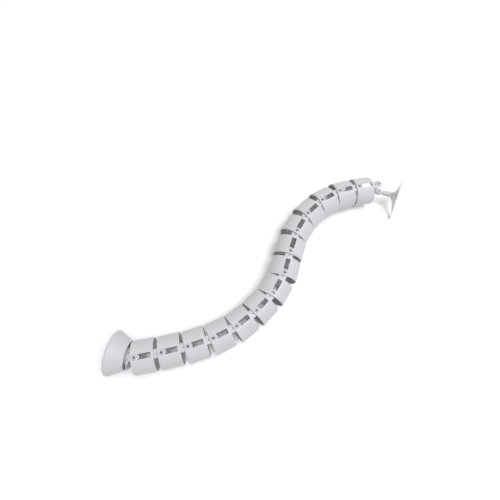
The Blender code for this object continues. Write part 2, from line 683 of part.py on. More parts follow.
def supporting_normal(points, centre):
    """Normal of the plane under all the points whose three contacts hold the centre."""
    best = None
    for i, j, k in itertools.combinations(range(len(points)), 3):
        a, b, c = points[i], points[j], points[k]
        normal = np.cross(b - a, c - a)
        if abs(normal[2]) < TOUCH * TOUCH:
            continue
        normal = normal / np.linalg.norm(normal) * np.sign(normal[2])
        if np.min((points - a) @ normal) < -TOUCH:
            continue
        height = (centre - a) @ normal / normal[2]
        if best is None or height < best[0]:
            best = (height, normal)
    return best[1]


def lowest_point(obj):
    """Lowest world height of an object's points."""
    world = obj.matrix_world
    return min((world @ vertex.co).z for vertex in obj.data.vertices)


def lean_bracket(fork, tripod, others):
    """Tilt the fork until the tripod's lowest arm comes down to the floor."""
    low, high = -BRACKET_TILT_LIMIT, BRACKET_TILT_LIMIT
    floor = min(lowest_point(obj) for obj in others)
    for _ in range(LEAN_STEPS):
        tilt = (low + high) / 2
        fork.rotation_euler.y = -math.radians(tilt)
        bpy.context.view_layer.update()
        if lowest_point(tripod) < floor + FLOOR_CLEARANCE:
            low = tilt
        else:
            high = tilt


def centre_on_floor(root):
    """Move the whole object so that its box stands on z = 0, centred on the origin."""
    bpy.context.view_layer.update()
    solids = [obj for obj in bpy.data.objects if obj.type == "MESH"]
    points = np.array([obj.matrix_world @ vertex.co for obj in solids for vertex in obj.data.vertices])
    low, high = points.min(axis=0), points.max(axis=0)
    root.location -= Vector(((low[0] + high[0]) / 2, (low[1] + high[1]) / 2, low[2]))
    bpy.context.view_layer.update()


def main():
    clear_scene()
    plastic = material("white_plastic", (0.80, 0.81, 0.82), 0.30)
    steel = material("zinc_steel", (0.62, 0.63, 0.65), 0.35, 1.0)
    rubber = material("black_rubber", (0.03, 0.03, 0.03), 0.8)

    root = bpy.data.objects.new("resting_frame", None)
    bpy.context.scene.collection.objects.link(root)
    cover = attach(make_cover(plastic), root, (0, 0, 0), (0, 0, -FOOT_BEND))
    attach(make_weight(steel), cover)
    attach(make_pad(rubber), cover)
    for number, place in enumerate(screw_places(), 1):
        attach(make_base_screw(number, place, steel), cover)
    links = make_links(cover, plastic)

    bar = attach(make_cross_bar(plastic), links[-1], (PITCH, 0, 0), (0, 0, BRACKET_SWING))
    fork = attach(make_fork(plastic), bar, (KNUCKLE_REACH, 0, 0))
    attach(make_cross_pin(steel), fork)
    tripod = attach(make_tripod(plastic), fork, (0, 0, 0), (BRACKET_ROLL, 0, 0))
    attach(make_washer(steel), fork)
    attach(make_keeper(steel), fork)

    _, last_pivot = chain_layout()
    normal = Vector(resting_plane())
    level = normal.rotation_difference(Vector((0, 0, 1))).to_matrix()
    chord = level @ Vector((last_pivot[0], last_pivot[1], 0.0))
    root.rotation_euler = (Matrix.Rotation(-math.atan2(chord.y, chord.x), 3, "Z") @ level).to_euler()
    bpy.context.view_layer.update()

    lean_bracket(fork, tripod, [cover] + links)
    centre_on_floor(root)


main()
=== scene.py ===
"""Articulated cable conduit: the moulded surfaces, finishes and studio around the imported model.

Every new piece is worked out in the frame of its own body: origin on the body's hinge,
+X along the conduit from foot to bracket, +Z along the hinge axis.  Its points are then
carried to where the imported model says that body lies.
"""

import json
import math

import bmesh
import bpy
import numpy as np
from mathutils import Matrix, Vector


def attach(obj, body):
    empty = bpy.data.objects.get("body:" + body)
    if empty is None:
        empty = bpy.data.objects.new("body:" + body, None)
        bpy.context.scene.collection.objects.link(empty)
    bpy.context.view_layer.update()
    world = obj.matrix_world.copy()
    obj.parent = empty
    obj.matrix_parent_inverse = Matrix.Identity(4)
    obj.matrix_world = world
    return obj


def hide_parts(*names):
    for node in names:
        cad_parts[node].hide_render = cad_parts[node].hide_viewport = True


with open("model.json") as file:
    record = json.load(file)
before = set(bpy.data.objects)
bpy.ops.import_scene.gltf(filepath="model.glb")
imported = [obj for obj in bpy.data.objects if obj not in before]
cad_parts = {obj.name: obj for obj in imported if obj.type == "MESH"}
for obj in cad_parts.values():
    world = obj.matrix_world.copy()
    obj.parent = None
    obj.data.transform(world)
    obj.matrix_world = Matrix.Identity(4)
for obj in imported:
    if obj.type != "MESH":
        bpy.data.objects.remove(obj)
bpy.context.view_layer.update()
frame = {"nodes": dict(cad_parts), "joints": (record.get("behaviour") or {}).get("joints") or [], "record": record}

bl_info = {
    "name": "Cable Conduit",
    "version": (1, 0, 0),
    "blender": (4, 5, 0),
    "location": "View3D > Sidebar > Conduit",
    "description": "Moulded links, cone foot and tripod bracket of a desk cable conduit",
    "category": "Object",
}

JOINTS = {joint["name"]: joint for joint in frame["joints"]}
MOUNTS = {mount["name"]: mount for mount in frame["record"]["mounts"]}
LINKS = sorted(name for name in frame["nodes"] if name.startswith("link_"))
HINGES = ["foot_hinge"] + [f"hinge_{number:02d}" for number in range(2, len(LINKS) + 1)]
MM = 0.001
FIT = 0.3 * MM           # room between pieces that seat or turn on each other
BOLT_HOLE = 2.3 * MM     # radius of the holes for the steel screws and the cross pin
HEAD_HOLE = 4.1 * MM     # radius of the countersinks in the weight
ROUND_END = 0.998        # an end's corner radius over half its width: at 1 its arcs would meet
WELD = 0.002 * MM        # points closer than this are one point
LUG_LINES = 9            # grid lines across and along a block of squares round a round hole


def spot(name):
    """Where a joint is, as an array."""
    return np.array(JOINTS[name]["pos_m"], float)


def line(name):
    """A joint's axis, as an array."""
    return np.array(JOINTS[name]["axis"], float)


def place_of(origin, along, up):
    """4 x 4 array from a body's own frame to the model: +X lies along, and +Z as near up as it can."""
    x = along / np.linalg.norm(along)
    y = np.cross(up, x)
    y = y / np.linalg.norm(y)
    place = np.eye(4)
    place[:3, 0], place[:3, 1], place[:3, 2], place[:3, 3] = x, y, np.cross(x, y), origin
    return place


def link_place(index):
    """Frame of the link with this index, counted from 0 at the foot."""
    following = HINGES[index + 1] if index + 1 < len(HINGES) else "bracket_swing"
    origin = spot(HINGES[index])
    return place_of(origin, spot(following) - origin, line(HINGES[index]))


def foot_place():
    """Frame of the foot: its axis runs square to the floor face."""
    down = np.array(MOUNTS["floor_face"]["axis"], float)
    return place_of(spot("foot_hinge"), -down, line("foot_hinge"))


def bar_place():
    """Frame of the cross bar in the last link."""
    origin = spot("bracket_swing")
    return place_of(origin, spot("bracket_tilt") - origin, line("bracket_swing"))


def fork_place():
    """Frame of the fork: origin on the cross pin, +Y along it."""
    along = line("bracket_spin")
    return place_of(spot("bracket_tilt"), along, np.cross(along, line("bracket_tilt")))


def tripod_place():
    """Frame of the tripod: +Z along the arm that carries the desk mount."""
    along = line("bracket_spin")
    reach = np.array(MOUNTS["desk_face"]["pos_m"], float) - spot("bracket_tilt")
    return place_of(spot("bracket_tilt"), along, reach - along * (reach @ along))


class Sheets:
    """Surfaces sampled on grids, gathered into one mesh whose meeting points are merged."""

    def __init__(self):
        self.points = []
        self.quads = []
        self.count = 0

    def add(self, grid, closed=False):
        """Take a surface as an array [rows, columns, 3]; closed joins the last column to the first."""
        rows, columns = grid.shape[:2]
        index = self.count + np.arange(rows * columns).reshape(rows, columns)
        if closed:
            index = np.hstack([index, index[:, :1]])
        quads = np.stack([index[:-1, :-1], index[1:, :-1], index[1:, 1:], index[:-1, 1:]], axis=-1)
        self.points.append(grid.reshape(-1, 3))
        self.quads.append(quads.reshape(-1, 4))
        self.count += rows * columns

    def half_turn(self):
        """Repeat everything turned 180 degrees about X."""
        points = np.concatenate(self.points) * (1, -1, -1)
        quads = np.concatenate(self.quads) + self.count
        self.points.append(points)
        self.quads.append(quads)
        self.count += len(points)

    def build(self, name):
        """One mesh object of all the surfaces, merged where they meet and facing outwards."""
        points, quads = np.concatenate(self.points), np.concatenate(self.quads)
        mesh = bpy.data.meshes.new(name)
        mesh.vertices.add(len(points))
        mesh.vertices.foreach_set("co", points.ravel())
        mesh.loops.add(quads.size)
        mesh.loops.foreach_set("vertex_index", quads.ravel().astype(np.int32))
        mesh.polygons.add(len(quads))
        mesh.polygons.foreach_set("loop_start", np.arange(0, quads.size, 4, dtype=np.int32))
        mesh.update(calc_edges=True)
        weld(mesh, outwards=True)
        obj = bpy.data.objects.new(name, mesh)
        bpy.context.scene.collection.objects.link(obj)
        return obj


def weld(mesh, outwards=False):
    """Merge points that lie closer than WELD, and turn the faces outwards if asked."""
    work = bmesh.new()
    work.from_mesh(mesh)
    bmesh.ops.remove_doubles(work, verts=work.verts, dist=WELD)
    if outwards:
        bmesh.ops.recalc_face_normals(work, faces=work.faces)
    work.to_mesh(mesh)
    work.free()


def quarter(steps):
    """Sine and 1 - cosine of a quarter turn: how far a rounded edge has gone across and down."""
    turn = np.linspace(0, math.pi / 2, steps + 1)
    return np.sin(turn), 1 - np.cos(turn)


def join(body, operation, *tools):
    """Boolean of the body with each tool, applied; the tools are used up."""
    for tool in tools:
        cut = body.modifiers.new("join", "BOOLEAN")
        cut.operation, cut.object, cut.solver = operation, tool, "MANIFOLD"
        bpy.context.view_layer.update()
        result = body.evaluated_get(bpy.context.evaluated_depsgraph_get())
        baked = bpy.data.meshes.new_from_object(result)
        body.modifiers.clear()
        body.data = baked
        bpy.data.objects.remove(tool, do_unlink=True)
    return body


def rounded(corners, steps=5, closed=True):
    """Polygon of (x, y, radius) corners, each turned into an arc that touches both its sides.

    The arc's centre lies on the line that halves the corner, radius / sin(half angle) from it.
    """
    corners = np.array(corners, float)
    points = []
    for index, (x, y, radius) in enumerate(corners):
        here = np.array([x, y])
        if radius == 0 or (not closed and index in (0, len(corners) - 1)):
            points.append(here[None])
            continue
        a = corners[index - 1, :2] - here
        b = corners[(index + 1) % len(corners), :2] - here
        a, b = a / np.linalg.norm(a), b / np.linalg.norm(b)
        half = math.acos(np.clip(a @ b, -1, 1)) / 2
        centre = here + (a + b) / np.linalg.norm(a + b) * radius / math.sin(half)
        first = here + a * radius / math.tan(half) - centre
        last = here + b * radius / math.tan(half) - centre
        turn = math.pi - 2 * half
        share = np.linspace(0, 1, steps + 1)[:, None]
        arc = np.sin((1 - share) * turn) * first + np.sin(share * turn) * last
        points.append(centre + arc / math.sin(turn))
    return np.concatenate(points)


def spun(profile, sides=96, loop=False, axis="X", centre=(0.0, 0.0, 0.0)):
    """Surface of revolution: each (along, radius) of the profile goes once round the axis.

    A loop closes on itself and makes a ring; any other profile begins and ends on the axis.
    """
    profile = np.asarray(profile, float)
    if loop:
        profile = np.vstack([profile, profile[:1]])
    turn = np.arange(sides) * 2 * math.pi / sides
    along = np.repeat(profile[:, :1], sides, axis=1)
    across, up = profile[:, 1:] * np.cos(turn), profile[:, 1:] * np.sin(turn)
    order = {"X": (along, across, up), "Y": (up, along, across), "Z": (across, up, along)}[axis]
    return np.stack(order, -1) + np.array(centre)


def turned(name, *profiles, **options):
    """One mesh object of a surface of revolution."""
    sheets = Sheets()
    for profile in profiles:
        sheets.add(spun(profile, **options), closed=True)
    return sheets.build(name)


def drill(name, radius, low, high, **options):
    """A plain round cutter from low to high along its axis."""
    return turned(name, [(low, 0), (low, radius), (high, radius), (high, 0)], **options)


def slab(name, outline, centre, low, high, edge, axis):
    """A flat outline given thickness along an axis, with rounded edges.

    Rows of the outline run from the middle of one face to its border, over the edge (outwards by
    the sine and down by one less the cosine of a quarter turn), along the wall and back.
    """
    after = np.roll(outline, -1, 0)
    tangent = after - np.roll(outline, 1, 0)
    area = np.sum(outline[:, 0] * after[:, 1] - outline[:, 1] * after[:, 0])
    normal = np.stack([tangent[:, 1], -tangent[:, 0]], 1) * math.copysign(1, area)
    normal = normal / np.linalg.norm(normal, axis=1, keepdims=True)
    middle = np.array(centre, float)
    flat = outline - normal * edge
    sine, drop = quarter(4)
    shares = (0, 0.5, 0.85)
    rows = [(middle + (flat - middle) * share, low) for share in shares]
    rows += [(flat + normal * edge * s, low + edge * d) for s, d in zip(sine, drop)]
    rows += [(flat + normal * edge * s, high - edge * d) for s, d in zip(sine[::-1], drop[::-1])]
    rows += [(middle + (flat - middle) * share, high) for share in shares[::-1]]
    grid = np.array([np.column_stack([uv, np.full(len(uv), w)]) for uv, w in rows])
    order = {"X": (2, 0, 1), "Y": (0, 2, 1), "Z": (0, 1, 2)}[axis]
    sheets = Sheets()
    sheets.add(grid[..., order], closed=True)
    return sheets.build(name)


def moved(obj, matrix):
    """Move an object's points."""
    obj.data.transform(matrix)
    return obj


def line_at(xs, y):
    """Points with these x and one y."""
    return np.stack([xs, np.full(len(xs), y)], 1)


def loop_of_block(xs, ys):
    """Points round the border of a block of grid squares, anticlockwise from its lowest corner."""
    low = line_at(xs[:-1], ys[0])
    right = line_at(ys[:-1], xs[-1])[:, ::-1]
    high = line_at(xs[:0:-1], ys[-1])
    left = line_at(ys[:0:-1], xs[0])[:, ::-1]
    return np.concatenate([low, right, high, left])


def circle_for(loop, centre, radius):
    """A circle's points and outward normals, each in line with the border point of the same index."""
    ray = loop - centre
    normal = ray / np.linalg.norm(ray, axis=1, keepdims=True)
    return centre + normal * radius, normal


def window_for(nx, ny, low, high, corner, bend):
    """Rounded rectangle with the point count of a block of nx by ny squares, and its outward normals.

    On each side the first and last bend points lie on half a corner's arc, and the rest are
    spaced evenly along the straight.
    """
    points, normals = [], []
    corners = [(high[0], low[1], -90), (high[0], high[1], 0),
               (low[0], high[1], 90), (low[0], low[1], 180)]
    middle = (np.array(low) + np.array(high)) / 2

    def arc_centre(x, y):
        return np.array([x, y]) + corner * np.copysign(1, middle - (x, y))

    def directions(degrees):
        turn = np.radians(degrees)
        return np.stack([np.cos(turn), np.sin(turn)], -1)

    half_arc = 45 * np.arange(bend) / bend
    before = corners[-1]
    for after, count in zip(corners, (nx, ny, nx, ny)):
        first, last = directions(before[2] + 45 + half_arc), directions(after[2] + half_arc)
        side = directions(after[2])
        inner, outer = arc_centre(*before[:2]), arc_centre(*after[:2])
        straight = np.linspace(inner, outer, count - 2 * bend + 1)[:-1] + corner * side
        points += [inner + corner * first, straight, outer + corner * last]
        normals += [first, np.tile(side, (len(straight), 1)), last]
        before = after
    return np.concatenate(points), np.concatenate(normals)


def rim_path(loop_out, loop_in, outline, normal, thickness, rounding, steps):
    """Path from the outer border over a hole's rounded rim to the inner border, as (x, y, depth).

    Across the sheet it is straight; over the rim it goes sideways by the sine and down by one
    less the cosine of a quarter turn; down the hole it is straight, and it comes out the same way.
    """
    sine, drop = quarter(3)
    start = outline + normal * rounding
    shares = np.linspace(0, 1, steps + 1)
    rows = [(loop_out + (start - loop_out) * share, 0.0) for share in shares[:-1]]
    rows += [(start - normal * rounding * s, rounding * d) for s, d in zip(sine, drop)]
    rows += [(start - normal * rounding * s, thickness - rounding * d)
             for s, d in zip(sine[::-1], drop[::-1])]
    rows += [(start + (loop_in - start) * share, thickness) for share in shares[1:]]
    return np.array([np.column_stack([xy, np.full(len(xy), depth)]) for xy, depth in rows])


def around(sizes, depth):
    """Angles from +Z of the lines round half a tube at this depth below its outside.

    The lines over the lug stay at fixed distances from the middle, so that holes there run
    straight in; the others share the rest of the half circle evenly.
    """
    radius = sizes.tube_diameter / 2 - depth
    over = np.arcsin(band_lines(sizes) / radius)
    side = np.linspace(over[-1], math.pi + over[0], sizes.side_lines + 1)
    return over, side


def band_lines(sizes):
    """Distances from the middle of the lines over the lug."""
    return np.linspace(-1, 1, LUG_LINES) * sizes.band_width / 2


def on_tube(radius, x, angle):
    """Points of a tube of this radius at x and at an angle from +Z."""
    x, angle = np.broadcast_arrays(x, angle)
    return np.stack([x, radius * np.sin(angle), radius * np.cos(angle)], -1)


def link_shell(sizes):
    """The tube of one link, open at both ends, with its windows and its entry holes."""
    radius = sizes.tube_diameter / 2
    wall, edge, fine = sizes.wall, sizes.edge_round, sizes.rim_round
    entry = -sizes.hinge_inset
    leave = entry + sizes.tube_length
    hole = sizes.hole_radius
    web = hole + sizes.window_web / 2
    window_low = (hole + sizes.window_web, -sizes.window_width / 2)
    window_high = (window_low[0] + sizes.window_length, sizes.window_width / 2)
    after = (window_high[0] + leave - edge) / 2
    window_squares = 18
    hole_lines = np.linspace(entry + edge, web, LUG_LINES)
    window_lines = np.linspace(web, after, window_squares + 1)
    end_lines = np.array([after, leave - edge])
    ys = band_lines(sizes)
    sheets = Sheets()

    def bored(lines, ys_out, outline, normal, first_inner=None):
        loop_out = loop_of_block(lines, ys_out)
        inner_lines = lines.copy()
        if first_inner is not None:
            inner_lines[0] = first_inner
        loop_in = loop_of_block(inner_lines, ys_out)
        path = rim_path(loop_out, loop_in, outline, normal, wall, fine, 4)
        x, y, depth = path[..., 0], path[..., 1], path[..., 2]
        sheets.add(np.stack([x, y, np.sqrt((radius - depth) ** 2 - y ** 2)], -1), closed=True)

    circle, circle_normal = circle_for(loop_of_block(hole_lines, ys), np.zeros(2), hole)
    bored(hole_lines, ys, circle, circle_normal, entry + fine)
    outline, outline_normal = window_for(window_squares, LUG_LINES - 1, window_low, window_high,
                                         sizes.window_corner, 3)
    bored(window_lines, ys, outline, outline_normal)

    all_lines = np.concatenate([hole_lines, window_lines[1:], end_lines[1:]])
    for depth in (0.0, wall):
        over, side = around(sizes, depth)
        xs, ends = all_lines.copy(), end_lines.copy()
        if depth:
            xs[0] = entry + fine
            xs[-1] = ends[-1] = leave - fine
        sheets.add(on_tube(radius - depth, xs[:, None], side[None, :]))
        sheets.add(on_tube(radius - depth, ends[:, None], over[None, :]))

    wide_sine, wide_drop = quarter(6)
    fine_sine, fine_drop = quarter(3)
    for end, sign in ((entry, -1), (leave, 1)):
        across = np.concatenate([end - sign * edge * (1 - wide_sine),
                                 end - sign * fine * (1 - fine_sine[::-1])])
        depths = np.concatenate([edge * wide_drop, wall - fine * fine_drop[::-1]])
        for part in (0, 1):
            rows = [on_tube(radius - depth, x, around(sizes, depth)[part])
                    for x, depth in zip(across, depths)]
            sheets.add(np.array(rows))
    sheets.half_turn()
    return sheets.build("link shell")


def link_lug(sizes, pivot):
    """A link's lug: radius of its outside and inside at x, and its grid lines behind the relief hole.

    The outside falls from the middle of the wall that carries it to the lug's own radius over a
    short smooth step, 3t^2 - 2t^3 of the way at a share t of it.
    """
    leave = sizes.tube_length - sizes.hinge_inset
    root, step, run = leave - sizes.lug_root, leave - sizes.edge_round, 1.2 * MM
    bore = sizes.tube_diameter / 2 - sizes.wall
    outer = bore - sizes.lug_clearance
    joined = bore + sizes.wall / 2

    def top(x):
        t = np.clip((x - step + run) / run, 0, 1)
        return joined + (outer - joined) * t * t * (3 - 2 * t)

    def under(x):
        return np.full_like(x, outer - sizes.lug_thickness)

    relief_left = 2 * (pivot - sizes.relief_setback) - (pivot - sizes.lug_width / 2)
    lines = np.unique(np.concatenate([np.linspace(root + sizes.rim_round, step - run, 4),
                                      np.linspace(step - run, step, 5), np.linspace(step, relief_left, 4)]))
    return top, under, lines


def lug(sizes, pivot, top_radius, under_radius, root_lines, relief=True):
    """Two curved lugs with hollow pegs, from the root lines to the round tips about x = pivot.

    A lug is a strip of a tube: its outside and inside are at height sqrt(radius^2 - y^2), with the
    radius a function of x.
    """
    half, fine = sizes.lug_width / 2, sizes.rim_round
    inset = half - fine
    ys = np.linspace(-inset, inset, LUG_LINES)
    peg_left = pivot - half
    sine, drop = quarter(2)
    going, coming = list(zip(sine, drop)), list(zip(sine[::-1], drop[::-1]))
    shares = (0, 0.35, 0.7)
    peg, bore = sizes.peg_radius, sizes.peg_bore
    sheets, rows = Sheets(), []

    def top(x, y):
        return np.sqrt(top_radius(x) ** 2 - y ** 2)

    def under(x, y):
        return np.sqrt(under_radius(x) ** 2 - y ** 2)

    def peg_face(x, y):
        return np.full_like(x, sizes.tube_diameter / 2 - sizes.peg_sunk)

    def row(xy, height, lift=0.0):
        rows.append(np.column_stack([xy, height(*xy.T) + lift]))

    def across_sheet(border, rim, height, order=shares):
        for share in order:
            row(border + (rim - border) * share, height)

    def round_edge(rim, way):
        for s, d in going:
            row(rim + way * fine * s, top, -fine * d)
        for s, d in coming:
            row(rim + way * fine * s, under, fine * d)

    def add_rows():
        sheets.add(np.array(rows), closed=True)
        rows.clear()

    grid_x, grid_y = np.meshgrid(root_lines, ys, indexing="ij")
    for height in (top, under):
        sheets.add(np.stack([grid_x, grid_y, height(grid_x, grid_y)], -1))

    relief_lines = np.linspace(root_lines[-1], peg_left, 5)
    if relief:
        loop = loop_of_block(relief_lines, ys)
        middle = np.array([pivot - sizes.relief_setback, 0.0])
        circle, normal = circle_for(loop, middle, sizes.relief_radius)
        rim = circle + normal * fine
        across_sheet(loop, rim, top)
        round_edge(rim, -normal)
        across_sheet(loop, rim, under, shares[::-1])
        add_rows()

    tip_turn = np.radians(np.linspace(-90, 90, 2 * LUG_LINES - 1))
    tip_ray = np.stack([np.cos(tip_turn), np.sin(tip_turn)], 1)
    centre = np.array([pivot, 0.0])
    tip = centre + inset * tip_ray
    flank = np.linspace(peg_left, pivot, 5)[:-1]

    def across(x):
        return line_at(ys[-2:0:-1], x)[:, ::-1]

    loop = np.concatenate([line_at(flank, -inset), tip, line_at(flank[::-1], inset), across(peg_left)])
    _, ray = circle_for(loop, centre, peg)
    across_sheet(loop, centre + ray * (peg + fine), top)
    for s, d in going:
        row(centre + ray * (peg + fine * (1 - s)), top, fine * d)
    for s, d in coming:
        row(centre + ray * (peg - fine * (1 - s)), peg_face, -fine * d)
    for s, d in going:
        row(centre + ray * (bore + fine * (1 - s)), peg_face, -fine * d)
    for s, d in coming:
        row(centre + ray * (bore + fine * (1 - s)), under, fine * d)
    across_sheet(loop, centre + ray * (bore + fine), under, shares[::-1])
    add_rows()

    between = relief_lines[1:] if relief else []
    side = np.concatenate([root_lines, between, flank[1:]])
    end = across(root_lines[0])
    border = np.concatenate([line_at(side, -inset), tip, line_at(side[::-1], inset), end])
    normal = np.concatenate([np.tile([0.0, -1.0], (len(side), 1)), tip_ray,
                             np.tile([0.0, 1.0], (len(side), 1)), np.tile([-1.0, 0.0], (len(end), 1))])
    normal[0] = (-1, -1)
    normal[-1 - len(end)] = (-1, 1)
    round_edge(border, normal)
    add_rows()
    sheets.half_turn()
    return sheets.build("lugs")


def cone_slope(foot):
    """How fast the cone's radius grows from its small end to its rim."""
    return (foot.rim_radius - foot.mouth_radius) / foot.cone_height


def cone_at(foot, x):
    """Outer radius of the foot's cone at x."""
    return foot.mouth_radius + (-foot.setback - x) * cone_slope(foot)


def cone_wall(sizes, foot):
    """The sloping wall's thickness, measured square to the foot's axis."""
    return sizes.wall * math.sqrt(1 + cone_slope(foot) ** 2)


def foot_cover(sizes, foot):
    """The foot's moulded cone with its ball-shaped neck, lugs and screw bosses."""
    wall, fine = sizes.wall, sizes.rim_round
    front = -foot.setback
    rim = front - foot.cone_height
    bottom = rim - foot.band_height
    slope, across = cone_slope(foot), cone_wall(sizes, foot)
    mouth, wide = foot.mouth_radius, foot.rim_radius
    shoulder, belly = 0.3 * MM, 3.7 * MM
    sole_out, sole_in = wide - 1.55 * MM, wide - 4.1 * MM
    shell = rounded([(front, mouth - across, 0.4 * MM), (front, mouth, 0.9 * MM),
                     (rim - shoulder, wide + shoulder * slope, 4 * MM),
                     (rim - belly, wide - 0.55 * MM, 2.5 * MM), (bottom, sole_out, 0.8 * MM),
                     (bottom, sole_in, 0.4 * MM), (rim, wide - across, MM)])
    cover = turned("cover", shell, sides=192, loop=True)

    ball = sizes.tube_diameter / 2 - wall - foot.neck_clearance
    tip, waist = front + foot.neck_reach, front + foot.neck_waist
    flange = front - foot.flange_setback
    flange_back = flange - 3 * MM
    tube = foot.neck_radius
    inside = tube - foot.neck_wall
    neck = rounded([(tip, math.sqrt(ball ** 2 - tip ** 2), fine),
                    (waist, math.sqrt(ball ** 2 - waist ** 2), fine),
                    (waist - 0.8 * MM, tube, fine), (flange, tube, fine),
                    (flange, cone_at(foot, flange) - wall / 2, 0),
                    (flange_back, cone_at(foot, flange_back) - wall / 2, 0),
                    (flange_back, inside, fine), (tip, inside, fine)], 3)
    neck = turned("neck", neck, sides=144, loop=True)

    lug_outer = sizes.tube_diameter / 2 - wall - sizes.lug_clearance
    sunk = 0.15 * MM

    def top(x):
        return np.minimum(lug_outer, np.sqrt(ball ** 2 - x ** 2) - sunk)

    def under(x):
        return top(x) - sizes.lug_thickness

    root_lines = np.linspace(waist + FIT, -sizes.lug_width / 2, LUG_LINES)
    lugs = lug(sizes, 0.0, top, under, root_lines, relief=False)

    boss_radius, boss_length = 4.5 * MM, 6 * MM
    seat = bottom + foot.weight_setback + foot.weight_thickness + FIT
    boss = rounded([(seat, 0, 0), (seat, boss_radius, fine), (seat + boss_length, boss_radius, 0.8 * MM),
                    (seat + boss_length, 0, 0)], 3, closed=False)
    places = [(0, y, z) for y, z in screw_places(foot)]
    bosses = [turned("boss", boss, sides=32, centre=place) for place in places]
    join(cover, "UNION", neck, neck_flare(foot, ball, waist), lugs, *bosses)
    pilots = [drill("pilot", BOLT_HOLE, seat - MM, seat + boss_length - 0.6 * MM, sides=24, centre=place)
              for place in places]
    reliefs = [drill("relief", foot.relief_radius, -wide, wide, sides=24, axis="Z",
                     centre=(-foot.relief_setback, side * foot.relief_spread, 0)) for side in (1, -1)]
    bore = drill("bore", sizes.peg_bore, -wide, wide, sides=48, axis="Z")
    return join(cover, "DIFFERENCE", *pilots, *reliefs, bore)


def neck_flare(foot, ball, waist):
    """Two sheets of the neck's ball that run out into the lugs.

    A sheet lies on a sphere about the hinge, so x and the angle from +Z give its points.  Seen from
    above, its front edge is an arc: x = sqrt(arc^2 - y^2) less the distance of the arc's centre.
    As y itself hangs on x there, the edge is found in a few rounds.
    """
    turn = np.radians(np.linspace(-66, 66, 67))[:, None]
    front = np.full_like(turn, waist)
    for _ in range(12):
        y = np.sqrt(ball ** 2 - front ** 2) * np.abs(np.sin(turn))
        front = np.sqrt(foot.flare_arc ** 2 - y ** 2) - foot.flare_centre
    edge = 0.4 * MM
    sine, drop = quarter(3)
    back = waist + FIT
    share = np.linspace(0, 1, 13)
    flat = back + (np.maximum(front, back + 2 * edge) - edge - back) * share
    nose = flat[:, -1:] + edge * sine[1:]
    xs = np.hstack([flat, nose, nose[:, ::-1], flat[:, ::-1]])
    fall = np.concatenate([0 * share, edge * drop[1:]])
    depth = np.concatenate([fall, foot.neck_wall - fall[::-1]])
    radius = np.sqrt(ball ** 2 - xs ** 2) - depth
    grid = np.stack([xs, radius * np.sin(turn), radius * np.cos(turn)], -1)
    sheets = Sheets()
    sheets.add(grid, closed=True)
    for end in (0, -1):
        middle = np.broadcast_to(grid[end].mean(0), grid[end].shape)
        sheets.add(np.stack([grid[end], middle]), closed=True)
    sheets.half_turn()
    return sheets.build("flare")


def screw_places(foot):
    """Centres (y, z) of the foot's three screws, evenly round a circle from 30 degrees."""
    turn = math.pi / 6 + 2 * math.pi * np.arange(3) / 3
    return foot.screw_circle * np.stack([np.cos(turn), np.sin(turn)], 1)


def weight_back(foot):
    """Where the back of the weight lies on the foot's axis."""
    return -(foot.setback + foot.cone_height + foot.band_height) + foot.weight_setback


def foot_weight(sizes, foot):
    """The turned steel ring in the cone, with a countersunk hole for each screw."""
    across = cone_wall(sizes, foot)
    back = weight_back(foot)
    front = back + foot.weight_thickness
    narrow = cone_at(foot, front) - across - FIT
    full = foot.rim_radius - across - 2.1 * MM
    bore = foot.rim_radius / 2
    chamfer = 0.6 * MM
    profile = rounded([(front, bore, chamfer), (front, narrow, chamfer),
                       (front - (full - narrow) / cone_slope(foot), full, MM),
                       (back, full, chamfer), (back, bore, chamfer)])
    weight = turned("weight", profile, sides=144, loop=True)
    seat = back + 2.5 * MM
    cut = [(back - MM, 0), (back - MM, HEAD_HOLE + FIT), (back + FIT, HEAD_HOLE),
           (seat - HEAD_HOLE + BOLT_HOLE, HEAD_HOLE), (seat, BOLT_HOLE),
           (front + MM, BOLT_HOLE), (front + MM, 0)]
    cuts = [turned("cut", cut, sides=48, centre=(0, y, z)) for y, z in screw_places(foot)]
    return join(weight, "DIFFERENCE", *cuts)


def foot_pad(sizes, foot):
    """The rubber ring under the foot, with rounded edges and a shallow groove round its sole."""
    front = weight_back(foot) - FIT
    back = front - 3.2 * MM
    outer = foot.rim_radius - sizes.wall - 1.8 * MM
    inner = foot.screw_circle + HEAD_HOLE
    middle = (outer + inner) / 2
    half, depth = 0.7 * MM, 0.5 * MM
    edge, fine = 0.9 * MM, 0.3 * MM
    profile = rounded([(front, inner, fine), (front, outer, fine), (back, outer, edge),
                       (back, middle + half, fine), (back + depth, middle, depth),
                       (back, middle - half, fine), (back, inner, edge)])
    return turned("pad", profile, sides=144, loop=True)


def foot_screw(foot, y, z):
    """A countersunk screw with a hexagon socket."""
    back = weight_back(foot) + FIT
    seat, tip = back + 2.2 * MM, back + 16.5 * MM
    head, shank = 3.8 * MM, 2.0 * MM
    pitch, groove = 0.7 * MM, 0.22 * MM
    thread = [(seat + 0.6 * MM + pitch * step, shank - groove * (step % 2), 0) for step in range(18)]
    profile = rounded([(back, 0, 0), (back, head, 0.3 * MM), (seat - head + shank, head, 0.1 * MM),
                       (seat, shank, 0)] + thread + [(tip, MM, 0), (tip, 0, 0)], 3, closed=False)
    screw = turned("screw", profile, sides=48, centre=(0, y, z))
    corner = np.radians(60 * np.arange(6) + 30)
    socket_radius, socket_depth = 1.5 * MM, 1.3 * MM
    across, up = y + socket_radius * np.cos(corner), z + socket_radius * np.sin(corner)
    socket = rounded([(a, b, 0.1 * MM) for a, b in zip(across, up)], 2)
    return join(screw, "DIFFERENCE",
                slab("socket", socket, (y, z), back - MM, back + socket_depth, 0.05 * MM, "X"))


